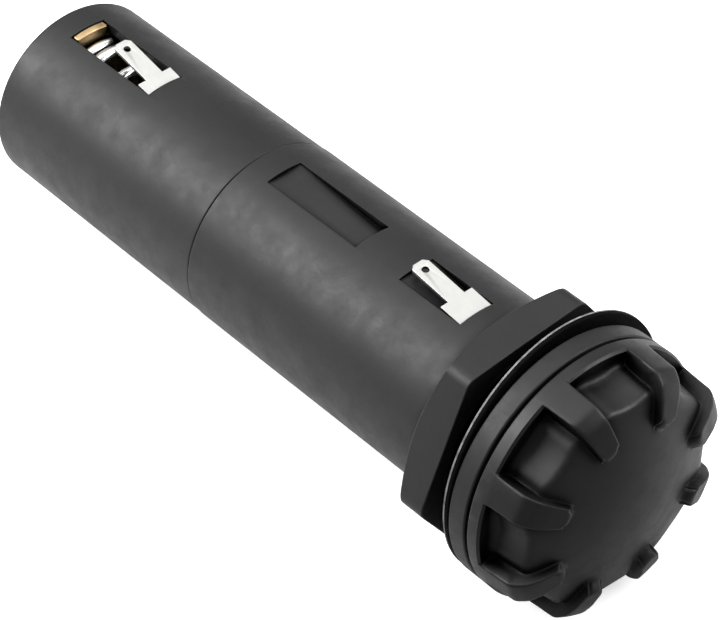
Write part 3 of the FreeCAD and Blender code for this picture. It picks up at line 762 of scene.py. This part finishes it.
def rear_sleeve():
    """Closed rear tube with the open window for the rear tab."""
    columns = shell_columns()
    fit_r = SPIGOT_R + SLEEVE_FIT
    fit_end = SPIGOT_END + 0.1
    recess = REAR_WINDOW[0] - FOOT_RECESS_BACK

    def side_r(y):
        return SLEEVE_FRONT_R + (SLEEVE_REAR_R - SLEEVE_FRONT_R) * (y - SEAM_Y) / (REAR_END - SEAM_Y)

    def bore(angle, y):
        if y < fit_end:
            return fit_r
        if y > REAR_BORE_Y:
            return REAR_BORE_R
        return FOOT_RECESS_R if in_foot_recess(angle, y, REAR_WINDOW[0]) else BORE_R

    ys = pocket_rows(*REAR_WINDOW) + [y + s for y in (fit_end, recess) for s in (-0.02, 0.02)]
    ys += spaced(SEAM_Y + 0.5, REAR_WINDOW[0] - 0.2, 2) + spaced(REAR_WINDOW[1] + 0.5, REAR_END - 2, 1)
    front = SEAM_Y + SEAM_GAP
    seam = [(fit_r + 0.1, front, 0), (SLEEVE_FRONT_R, front, 0.3), (SLEEVE_FRONT_R, front + 0.4, 0)]
    profile = rounded(seam)
    profile += [(side_r(y), y) for y in sorted(set(ys))]
    outer = [[eased(place(r, y, a), REAR_WINDOW) for a in columns] for r, y in profile]
    inner = [[place(bore(a, y), y, a) for a in columns] for y in increasing([y for _, y in profile])]
    window_y = (REAR_WINDOW[0] + 0.03, REAR_WINDOW[1] - 0.03)
    skin, outside, inside = shell(outer, inner, POCKET_HALF - 0.03, window_y)
    skin.join(inside[0], outside[0])
    end = rounded([
        (side_r(REAR_END - 2), REAR_END - 2, 0),
        (SLEEVE_REAR_R, REAR_END, 0.5),
        (DISH_R + DISH_DEPTH, REAR_END, 0.25),
        (DISH_R, REAR_END - DISH_DEPTH, 0.25),
        (0, REAR_END - DISH_DEPTH, 0),
    ], 6)
    skin.chain([outside[-1]] + [skin.turned(r, y, columns, place) for r, y in end])
    skin.chain([inside[-1]] + [skin.turned(r, END_WALL_Y, columns, place) for r in (REAR_BORE_R, 0)])
    dress(skin.build("sleeve_moulding"), "housing", HOUSING, "housing_plastic", "rear_sleeve")


# ---- knob

NOSE_R = 11.0
NOSE_CORNER_R = 0.8
WALL_DRAFT = 0.7
# Half width of a rib's top in degrees. Beyond it, the share of the rib's outline falls step by step to 0.
RIB_FLAT = 4.9
RIB_STEPS = (0.0, 0.5, 1.05, 1.4, 1.6, 1.9, 2.1, 2.3, 2.8, 3.5)
RIB_SHARES = (1.0, 0.996, 0.983, 0.943, 0.85, 0.3, 0.12, 0.05, 0.015, 0.0)
SCOOP_R = 12.0
PLUG_R = 11.1
PLUG_END = 5.0
SEAL_GROOVE_R = 9.88
SEAL_GROOVE_Y = (-2.85, -1.35)
LUG_R = 12.2
LUG_Y = (2.2, 4.4)
LUG_HALF = 12.0
COLLAR_BORE_R = 9.0
COLLAR_FRONT_Y = -0.6
RING_SLOT_R = 9.55
RING_SLOT_Y = (2.35, 3.25)
HOLLOW_R = 8.3
HOLLOW_Y = -13.2
SKIRT_R = (12.3, 13.9)
SKIRT_Y = -10.5
OUTLINE_STEPS = 44


def rib_share(angle):
    """1 on a grip rib, 0 in the pocket beside it, from the angle off the rib's centre."""
    return interpolate(abs(angle) - RIB_FLAT, RIB_STEPS, RIB_SHARES)


def dome(r):
    """Place along the axis of the domed front at a radius."""
    return DOME_Y + DOME_SPHERE_R - math.sqrt(DOME_SPHERE_R ** 2 - r * r)


def resampled(points, count):
    """The same outline with evenly spaced points."""
    lengths = [0.0]
    for a, b in zip(points, points[1:]):
        lengths.append(lengths[-1] + math.dist(a, b))
    result = []
    for k in range(count + 1):
        goal = lengths[-1] * k / count
        result.append(tuple(interpolate(goal, lengths, [p[i] for p in points]) for i in (0, 1)))
    return result


def pocket_outline(wall_r):
    """From the rim's front edge across the floor, up the crown's wall and over to the dome at r = 10."""
    top_r = wall_r - CROWN_ROUND
    wall = rounded([
        (KNOB_R - 0.3, RIM_FRONT, 0),
        (wall_r + WALL_DRAFT, RIM_FRONT, 1.6),
        (wall_r, dome(wall_r), CROWN_ROUND),
        (10.0, dome(10.0), 0),
    ], 8)
    split = next(k for k, (r, y) in enumerate(wall) if r <= top_r + 0.3 and y < -12)
    crown = [top_r - 0.2 - (top_r - 10.2) * k / 12 for k in range(13)]
    return wall[:split] + [(r, dome(r)) for r in crown]


def nose_setback(offset):
    """How far the rib's nose stands back at its corners, which are rounded as seen from the front."""
    to_side = NOSE_R * math.radians(max(0.0, RIB_FLAT - abs(offset)))
    short = max(0.0, NOSE_CORNER_R - to_side) * 0.94
    return NOSE_CORNER_R - math.sqrt(NOSE_CORNER_R ** 2 - short ** 2)


def rib_outline(offset):
    """From the rim's front edge up the rib's side, over its shoulder and down its nose to the dome."""
    back = nose_setback(offset)
    return rounded([
        (KNOB_R, RIM_FRONT, 0),
        (18.3, -11.9, 1.5),
        (17.15, -13.4, 3.0),
        (15.4, -14.3, 3.0),
        (12.3 + back, -15.3 + 0.3 * back, 0.9),
        (NOSE_R + back, dome(NOSE_R + back) - 0.05, 0.5),
        (10.0, dome(10.0), 0),
    ], 8)


def knob_columns():
    """Column angles, dense at the ribs' sides and corners and at the lugs' ends."""
    offsets = [0, 1.2, 2.2, 3.0, 3.6, 4.1, 4.5, 9.8, 12, 14.5, 17, 19.5, 180 / RIBS]
    offsets += [RIB_FLAT + step for step in RIB_STEPS]
    centres = [RIB_PHASE + k * 360 / RIBS for k in range(RIBS)]
    angles = {round((c + s * o) % 360, 3) for c in centres for o in offsets for s in (-1, 1)}
    ends = [LUG_HALF + d for d in (-0.6, 0, 0.6)]
    return sorted(angles | {side + s * e for side in (90, 270) for e in ends for s in (-1, 1)})


def rib_offset(angle):
    """Angle off the nearest rib's centre."""
    pitch = 360 / RIBS
    return (angle - RIB_PHASE + pitch / 2) % pitch - pitch / 2


def crown_wall_r(offset):
    """The crown is scooped between the ribs by a cylinder whose axis lies outside it."""
    a = math.radians(180 / RIBS - abs(offset))
    axis_r = CROWN_MID_R + SCOOP_R
    wall = axis_r * math.cos(a) - math.sqrt(max(0.0, SCOOP_R ** 2 - (axis_r * math.sin(a)) ** 2))
    return min(CROWN_R, wall)


def knob_front(angle):
    """One column's outline from the rim to the dome, between the pocket's outline and the rib's."""
    offset = rib_offset(angle)
    share = rib_share(offset)
    pocket = resampled(pocket_outline(crown_wall_r(offset)), OUTLINE_STEPS)
    rib = resampled(rib_outline(offset), OUTLINE_STEPS)
    return [tuple(a + (b - a) * share for a, b in zip(p, q)) for p, q in zip(pocket, rib)]


def knob():
    """Bayonet knob: domed and ribbed front, skirt, plug with seal groove and two lugs, and a hollow."""
    columns = knob_columns()
    fronts = [knob_front(a) for a in columns]
    skin = Skin()
    rings = [skin.turned(r, dome(r), columns) for r in (0, 1.5, 3, 4.5, 6, 7.5, 9)]
    for k in reversed(range(OUTLINE_STEPS + 1)):
        rings.append(skin.ring([polar(*front[k], a) for a, front in zip(columns, fronts)]))
    rear = rounded([
        (KNOB_R, RIM_FRONT + 0.3, 0),
        (KNOB_R, KNOB_REAR, 0.3),
        (SKIRT_R[1], KNOB_REAR, 0.2),
        (SKIRT_R[1], SKIRT_Y, 0.4),
        (SKIRT_R[0], SKIRT_Y, 0.4),
        (SKIRT_R[0], KNOB_REAR, 0.2),
        (PLUG_R, KNOB_REAR, 0.15),
        (PLUG_R, SEAL_GROOVE_Y[0], 0.12),
        (SEAL_GROOVE_R, SEAL_GROOVE_Y[0], 0.12),
        (SEAL_GROOVE_R, SEAL_GROOVE_Y[1], 0.12),
        (PLUG_R, SEAL_GROOVE_Y[1], 0.12),
        (PLUG_R, LUG_Y[0] - 0.05, 0),
    ])
    lug_rows = (LUG_Y[0], LUG_Y[0] + 0.25, LUG_Y[1] - 0.25, LUG_Y[1])
    rear += [(PLUG_R, y) for y in lug_rows]
    rear += rounded([
        (PLUG_R, LUG_Y[1] + 0.05, 0),
        (PLUG_R, PLUG_END, 0.3),
        (COLLAR_BORE_R, PLUG_END, 0.2),
        (COLLAR_BORE_R, RING_SLOT_Y[1], 0.05),
        (RING_SLOT_R, RING_SLOT_Y[1], 0.05),
        (RING_SLOT_R, RING_SLOT_Y[0], 0.05),
        (COLLAR_BORE_R, RING_SLOT_Y[0], 0.05),
        (COLLAR_BORE_R, COLLAR_FRONT_Y, 0.1),
        (HOLLOW_R, COLLAR_FRONT_Y, 0.1),
        (HOLLOW_R, HOLLOW_Y, 0.4),
        (0, HOLLOW_Y, 0),
    ])

    def lugged(r, y, angle):
        """Stands the two lugs out of the plug, with their edges bevelled."""
        inside = LUG_HALF - min(abs(angle - 90), abs(angle - 270))
        if r == PLUG_R and y in lug_rows and inside >= 0:
            r = LUG_R if inside > 0.3 else LUG_R - 0.25
            r -= 0.2 if y in LUG_Y else 0.0
        return polar(r, y, angle)

    rings += [skin.turned(r, y, columns, lugged) for r, y in rear]
    skin.chain(rings)
    dress(skin.build("bayonet_knob", 40), "knob", KNOB, "knob_plastic", "knob_cap")


# ---- nut, gasket and seals

def hexagon_r(angle):
    """Radius of the nut's hexagon, with its corners rounded off."""
    off = abs((angle - NUT_PHASE + 30) % 60 - 30)
    straight = 30 - NUT_CORNER_ANGLE
    if off <= straight:
        return NUT_AF / 2 / math.cos(math.radians(off))
    start = NUT_AF / 2 / math.cos(math.radians(straight))
    slope = start * math.tan(math.radians(straight)) * math.radians(NUT_CORNER_ANGLE)
    past = (off - straight) / NUT_CORNER_ANGLE
    return start + slope * (past - past ** 2 / 2)


def nut():
    """Hexagonal nut with a threaded bore. A 30 degree cone turns off its rear corners."""
    offsets = [0, 4, 8, 12, 16, 20, 23, 25.5, 27, 28, 28.8, 29.4, 30]
    centres = [NUT_PHASE + k * 60 for k in range(6)]
    columns = sorted({round((c + s * o) % 360, 3) for c in centres for o in offsets for s in (-1, 1)})
    front, rear = NUT_Y
    low, high = front + 0.5, rear - 0.5
    outlines = []
    for a in columns:
        r = hexagon_r(a)
        cone_y = rear - (r - NUT_AF / 2) * math.tan(math.radians(30)) - 0.25
        outlines.append(rounded([
            (NUT_BORE_R + 1.2, front, 0), (r, front, 0.18), (r, cone_y, 0.22),
            (NUT_AF / 2 - 0.35, rear, 0.3), (NUT_BORE_R + 1.2, rear, 0),
        ]))

    def threaded(r, y, angle):
        groove = thread_groove(angle, y, low, high, 0.4)
        return polar(r + (NUT_GROOVE_R - NUT_BORE_R) * groove, y, angle)

    skin = Skin()
    rings = []
    for k in range(len(outlines[0])):
        rings.append(skin.ring([polar(*line[k], a) for a, line in zip(columns, outlines)]))
    rings.append(skin.turned(NUT_BORE_R + 0.4, rear, columns))
    for y in [high] + spaced(low, high, 0.12)[::-1] + [low]:
        rings.append(skin.turned(NUT_BORE_R, y, columns, threaded))
    rings.append(skin.turned(NUT_BORE_R + 0.4, front, columns))
    skin.chain(rings, closed=True)
    dress(skin.build("hexagonal_nut", 30), "nut", NUT, "nut_plastic", "panel_nut")


def gasket():
    """Washer that hangs loose on the neck, a little off centre and tipped, touching the flange at -X."""
    inner, outer = GASKET_R
    ridge = outer + 0.06
    outline = rounded([
        (inner + 1, -GASKET_THICK, 0), (outer, -GASKET_THICK, 0.2), (outer, -GASKET_LINE - 0.02, 0.02),
        (ridge, -GASKET_LINE, 0.02), (ridge, 0, 0.05), (inner, 0, 0.1), (inner, -GASKET_THICK, 0.1),
    ], 5)
    obj = lathe("gasket_ring", outline, 160)
    tipped = Matrix.Rotation(math.radians(GASKET_TIP), 4, "Z")
    obj.matrix_world = Matrix.Translation(Vector(GASKET_SHIFT) * MM) @ tipped
    dress(obj, "housing", RUBBER, "rubber", "panel_gasket")


def seal():
    """Round O-ring in the knob's groove."""
    low, high = span("cap_seal", 1)
    wire_r = (high - low) / 2
    ring_r = span("cap_seal", 0)[1] - wire_r
    around = [2 * math.pi * k / 20 for k in range(20)]
    section = [(ring_r + wire_r * math.cos(a), low + wire_r + wire_r * math.sin(a)) for a in around]
    dress(lathe("knob_seal", section), "knob", RUBBER, "rubber", "cap_seal")


# ---- tabs

STRIP = 0.5
TAB_TOP_Z = 13.4
TAB_HALF = 1.4
TAB_CHAMFER = 0.6
TAB_HOLE_R = 0.52
TAB_HOLE_INSET = 1.55
FOOT_IN_R = 11.2
FOOT_HALF = 2.3
FOOT_LENGTH = 5.2
BEVEL = 0.06


def stamped_plate(outline, hole_y):
    """Plate cut to an outline (x, y), with a hole, rounded edges and its top face at z = 0."""
    curve = bpy.data.curves.new("stamped", "CURVE")
    curve.dimensions = "2D"
    curve.fill_mode = "BOTH"
    curve.extrude = (STRIP / 2 - BEVEL) * MM
    curve.bevel_depth = BEVEL * MM
    curve.bevel_resolution = 2
    curve.offset = -BEVEL * MM
    around = [2 * math.pi * k / 32 for k in range(32)]
    hole = [(TAB_HOLE_R * math.cos(a), hole_y + TAB_HOLE_R * math.sin(a)) for a in around]
    for loop in (outline, hole):
        spline = curve.splines.new("POLY")
        spline.points.add(len(loop) - 1)
        for point, (x, y) in zip(spline.points, loop):
            point.co = (x * MM, y * MM, 0, 1)
        spline.use_cyclic_u = True
    holder = bpy.data.objects.new("stamped", curve)
    bpy.context.scene.collection.objects.link(holder)
    bpy.context.view_layer.update()
    evaluated = holder.evaluated_get(bpy.context.evaluated_depsgraph_get())
    mesh = bpy.data.meshes.new_from_object(evaluated)
    bpy.data.objects.remove(holder)
    bpy.data.curves.remove(curve)
    mesh.transform(Matrix.Translation((0, 0, -STRIP / 2 * MM)))
    return mesh


def bent_strip(points, half):
    """Strip with rounded edges, as wide as 2 half, swept through points (y, z)."""
    skin = Skin()
    section = []
    for quarter, (side, top) in enumerate(((1, 1), (-1, 1), (-1, -1), (1, -1))):
        for k in range(3):
            a = math.radians(90 * quarter + 45 * k)
            x = side * (half - BEVEL) + BEVEL * math.cos(a)
            section.append((x, top * (STRIP / 2 - BEVEL) + BEVEL * math.sin(a)))
    rings = []
    for k, (y, z) in enumerate(points):
        before = Vector(points[max(0, k - 1)])
        along = (Vector(points[min(len(points) - 1, k + 1)]) - before).normalized()
        rings.append(skin.ring([(x, y - along[1] * h, z + along[0] * h) for x, h in section]))
    skin.chain(rings)
    skin.faces += [tuple(rings[0]), tuple(rings[-1])]
    return skin.build("strip")


def terminal(name, node, tab_y, slope, cross_length, cross_half, blade_length):
    """T-shaped tab: blade and crossbar on top, a bend into the slot, and a foot on the contact."""
    total = cross_length + blade_length
    right = [
        (cross_half, 0), (cross_half, cross_length), (TAB_HALF, cross_length),
        (TAB_HALF, total - TAB_CHAMFER), (TAB_HALF - TAB_CHAMFER, total),
    ]
    plate = stamped_plate(right + [(-x, y) for x, y in reversed(right)], total - TAB_HOLE_INSET)
    plate.transform(Matrix.Rotation(math.radians(slope), 4, "X"))
    plate.transform(Matrix.Translation((0, tab_y * MM, TAB_TOP_Z * MM)))
    blade = bpy.data.objects.new("blade", plate)
    middle_y = tab_y + STRIP / 2
    foot_z = FOOT_IN_R + STRIP / 2
    foot = bent_strip([
        (middle_y, TAB_TOP_Z - 0.15), (middle_y, foot_z + 0.3), (middle_y - 0.1, foot_z + 0.08),
        (middle_y - 0.35, foot_z), (tab_y - FOOT_LENGTH, foot_z),
    ], FOOT_HALF)
    dress(joined(name, [blade, foot]), "housing", TIN, "tinned_tabs", node)


# ---- spring, seat and plunger

def spring_rise(turn, total):
    """How far the wire has risen after some turns, with its changes of pitch smoothed."""
    rise = 0.0
    for ahead in (-0.06, -0.03, 0, 0.03, 0.06):
        at = min(total, max(0.0, turn + ahead))
        opened = min(max(at - 1.0, 0.0), total - 2.0)
        rise += opened * SPRING_OPEN_PITCH + (at - opened) * SPRING_CLOSED_PITCH
    return rise / 5


def spring():
    """Conical coil of wire with a closed turn at each end. The wire ends near +Z at the seat."""
    start, end = SPRING_Y
    total = (end - start - 2 * SPRING_CLOSED_PITCH) / SPRING_OPEN_PITCH + 2.0
    steps = round(total * 72)
    centres = []
    for k in range(steps + 1):
        turn = total * k / steps
        a = 2 * math.pi * (turn - total) + math.radians(SPRING_END_ANGLE)
        opened = clamped((turn - 1.0) / (total - 2.0))
        r = SPRING_FRONT_R + (SPRING_REAR_R - SPRING_FRONT_R) * opened
        centres.append(Vector((r * math.sin(a), start + spring_rise(turn, total), r * math.cos(a))))
    skin = Skin()
    rings = [skin.ring([tuple(centres[0])])]
    around = [2 * math.pi * c / 20 for c in range(20)]
    for k, centre in enumerate(centres):
        along = (centres[min(k + 1, steps)] - centres[max(k - 1, 0)]).normalized()
        side = along.cross(Vector((centre.x, 0, centre.z))).normalized()
        out = side.cross(along)
        offsets = [(out * math.cos(a) + side * math.sin(a)) * SPRING_WIRE_R for a in around]
        rings.append(skin.ring([tuple(centre + offset) for offset in offsets]))
    rings.append(skin.ring([tuple(centres[-1])]))
    skin.chain(rings)
    obj = skin.build("contact_coil", 60)
    dress(obj, None, WIRE, "spring_steel", "contact_spring")
    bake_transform(obj)


def seat():
    """Brass cup with a lug bent up into the window."""
    face = SEAT_FACE_Y
    rear, inside = END_WALL_Y - 0.05, face + SEAT_SHEET
    cup = lathe("cup", rounded([
        (SEAT_HOLE_R, face + 0.5, 0), (SEAT_HOLE_R, face, 0.2), (SEAT_R, face, 0.3), (SEAT_R, rear, 0.1),
        (SEAT_R - SEAT_WALL, rear, 0.1), (SEAT_R - SEAT_WALL, inside, 0.3), (SEAT_HOLE_R, inside, 0.2),
        (SEAT_HOLE_R, face + 0.5, 0),
    ])[:-1], 160)
    root_r, back = SEAT_R - 0.4, face + SEAT_LUG_SHEET
    lug = rounded([
        (root_r, face + 0.3, 0), (root_r, face, 0.02), (SEAT_LUG_R, face, 0.3),
        (SEAT_LUG_R, back, 0.2), (root_r, back, 0.02), (root_r, face + 0.3, 0),
    ])[:-1]
    middle_r, middle_y = SEAT_R + 0.5, face + SEAT_LUG_SHEET / 2
    half = math.degrees(math.asin(SEAT_LUG_HALF / SEAT_LUG_R))
    skin = Skin()
    rings = []
    for step in (-1.0, -0.985, -0.95, -0.5, 0, 0.5, 0.95, 0.985, 1.0):
        size = {1.0: 0.8, 0.985: 0.93}.get(abs(step), 1.0)
        points = [(middle_r + (r - middle_r) * size, middle_y + (y - middle_y) * size) for r, y in lug]
        rings.append(skin.ring([polar(r, y, half * step) for r, y in points]))
    skin.chain(rings)
    skin.faces += [tuple(rings[0]), tuple(rings[-1])]
    obj = joined("spring_seat_cup", [cup, skin.build("lug")])
    dress(obj, "housing", DULL_BRASS, "contact_brass", "spring_seat")


def plunger():
    """Solid nose that meets the fuse, a flange for the spring and a sleeve that guides its inside."""
    low = span("contact_plunger", 1)[0]
    front, rear = PLUNGER_FLANGE_Y
    bore_r, sleeve_r = PLUNGER_SLEEVE_R
    outline = rounded([
        (0, low, 0), (PLUNGER_STEM_R, low, 0.7), (PLUNGER_STEM_R, front, 0.2), (PLUNGER_FLANGE_R, front, 0.2),
        (PLUNGER_FLANGE_R, rear, 0.2), (sleeve_r, rear, 0.1), (sleeve_r, PLUNGER_SLEEVE_END, 0.2),
        (bore_r, PLUNGER_SLEEVE_END, 0.2), (bore_r, rear, 0.2), (0, rear, 0),
    ])
    obj = lathe("contact_piston", outline, closed=False)
    dress(obj, "plunger", BRASS, "contact_brass", "contact_plunger")


# ---- fuse

def fuse_cap(name, node, end_y, inward):
    """Pressed cap with a rounded closed end and a shallow pressed ring in it."""
    inner_r = CAP_R - CAP_WALL
    steps = [
        (0, 0, 0), (4.4, 0, 0.2), (4.8, 0.12, 0.2), (5.4, 0.12, 0.2), (5.8, 0, 0.2), (CAP_R, 0, 0.5),
        (CAP_R, CAP_LENGTH, 0.12), (inner_r, CAP_LENGTH, 0.12), (inner_r, CAP_END, 0.2), (0, CAP_END, 0),
    ]
    outline = rounded([(r, end_y + inward * depth, fillet) for r, depth, fillet in steps])
    obj = lathe(name, outline, 96, closed=False)
    dress(obj, "fuse_carriage", NICKEL, "nickel_caps", node)


def fuse_body():
    """Ceramic tube between the fuse's caps."""
    low, high = span("fuse_tube", 1)
    outline = rounded([
        (TUBE_BORE_R, low, 0.2), (TUBE_R, low, 0.3), (TUBE_R, high, 0.3), (TUBE_BORE_R, high, 0.2),
        (TUBE_BORE_R, low + 1, 0),
    ])
    dress(lathe("ceramic_body", outline, 96), "fuse_carriage", CERAMIC, "fuse_ceramic", "fuse_tube")


# ---- inner CAD pieces that keep their shape

CAD_FINISH = {
    "front_contact": BRASS,
    "rear_contact_sleeve": BRASS,
    "terminal_rivets": BRASS,
    "clip_rivet": BRASS,
    "fuse_carrier": CARRIER,
    "carrier_ring": WIRE,
    "fuse_clip": BRONZE,
    "fuse_inner_caps": NICKEL,
    "fuse_element": SILVER,
    "fuse_filler": SAND,
}


def dress_cad_nodes():
    """Puts a node material on each CAD node that is shown as it is."""
    for node, material in CAD_FINISH.items():
        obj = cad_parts[node]
        obj.data.materials.clear()
        obj.data.materials.append(material)


# ---- floor, light and camera

def floor():
    """Plain pale floor just under the CAD. It reads pale to the camera, bounces little light back, and shows
    a painted gradient in reflections.
    """
    low = cad_box[0].z - 0.02 * MM
    material, tree, shader = node_material("pale_floor")
    at = coordinates(tree)
    tone = ramp(tree, noise(tree, at, 0.01, 3), [(0.3, grey(0.9)), (0.7, grey(0.93))])
    ray = add(tree, "ShaderNodeLightPath").outputs
    # Painted reflection: for glossy rays the floor runs from dark towards -X and -Y to pale towards +X and
    # +Y, which grades the knob dome's reflection.
    along = add(tree, "ShaderNodeVectorMath", {0: at, 1: (0.6, 0.8, 0)}, operation="DOT_PRODUCT")
    painted_reflection = gradient(tree, along.outputs["Value"], (-30, 0.22), (4, 0.9))
    unseen = mixed(tree, ray["Is Glossy Ray"], grey(0.16), painted_reflection)
    set_inputs(shader, {
        "Base Color": mixed(tree, ray["Is Camera Ray"], unseen, tone),
        "Roughness": 0.9,
        "Emission Color": grey(1.0),
        "Emission Strength": math_node(tree, "MULTIPLY", ray["Is Camera Ray"], 0.6),
    })
    reach = 3.0
    corners = [(-reach, -reach, low), (reach, -reach, low), (reach, reach, low), (-reach, reach, low)]
    mesh = bpy.data.meshes.new("floor")
    mesh.from_pydata(corners, [], [(0, 1, 2, 3)])
    mesh.materials.append(material)
    obj = bpy.data.objects.new("floor", mesh)
    bpy.context.scene.collection.objects.link(obj)


def softbox(name, toward, distance, size, power):
    """Area light that points at the middle of the barrel from a direction."""
    centre = (cad_box[0] + cad_box[1]) / 2
    direction = Vector(toward).normalized()
    light = bpy.data.lights.new(name, "AREA")
    light.shape = "RECTANGLE"
    light.size, light.size_y = size
    light.energy = power
    obj = bpy.data.objects.new(name, light)
    obj.location = centre + direction * distance
    obj.rotation_mode = "QUATERNION"
    obj.rotation_quaternion = direction.to_track_quat("Z", "Y")
    bpy.context.scene.collection.objects.link(obj)


def lighting():
    """White surroundings, brighter towards the barrel's rear, and three soft boxes."""
    world = bpy.data.worlds.new("studio")
    world.use_nodes = True
    tree = world.node_tree
    direction = add(tree, "ShaderNodeTexCoord").outputs["Generated"]
    along = add(tree, "ShaderNodeSeparateXYZ", {0: direction}).outputs["Y"]
    strength = gradient(tree, along, (-0.6, 0.32), (0.5, 0.6))
    set_inputs(tree.nodes["Background"], {"Color": grey(1.0), "Strength": strength})
    bpy.context.scene.world = world
    softbox("key", (-0.53, 0.62, 0.63), 0.5, (0.3, 0.3), 2.8)
    softbox("overhead", (0.1, 0.1, 1.0), 1.0, (1.2, 1.2), 8)
    softbox("front", (0.55, -0.63, 0.54), 0.5, (0.25, 0.25), 1.2)
    bpy.context.scene.view_settings.view_transform = "Standard"


def camera():
    """Camera at the photograph's viewing angle. Its place is in barrel radii from the frame's origin."""
    data = bpy.data.cameras.new("camera")
    data.sensor_width = 36
    data.lens = 167.6
    data.clip_start, data.clip_end = 0.01, 10
    back = Vector((-0.4945, -0.5664, 0.6593)).normalized()
    place_at = Vector((-15.757, -15.458, 20.927)) * BARREL_R * MM
    aimed = (-back).to_track_quat("-Z", "Y").to_matrix().to_4x4()
    aimed.translation = place_at
    obj = bpy.data.objects.new("camera", data)
    obj.matrix_world = Matrix.Rotation(math.radians(2), 4, "Y") @ aimed
    bpy.context.scene.collection.objects.link(obj)
    bpy.context.scene.camera = obj


front_barrel()
rear_sleeve()
knob()
nut()
gasket()
seal()
terminal("front_tab", "front_terminal", FRONT_POCKET[0] + 0.1, 8.7, 3.8, 2.7, 7.4)
terminal("rear_tab", "rear_terminal", REAR_WINDOW[0] + 0.2, 12.9, 2.3, 2.8, 7.5)
spring()
seat()
plunger()
fuse_cap("front_fuse_cap", "fuse_front_cap", FUSE_Y[0], 1)
fuse_cap("rear_fuse_cap", "fuse_rear_cap", FUSE_Y[1], -1)
fuse_body()
dress_cad_nodes()
floor()
lighting()
camera()
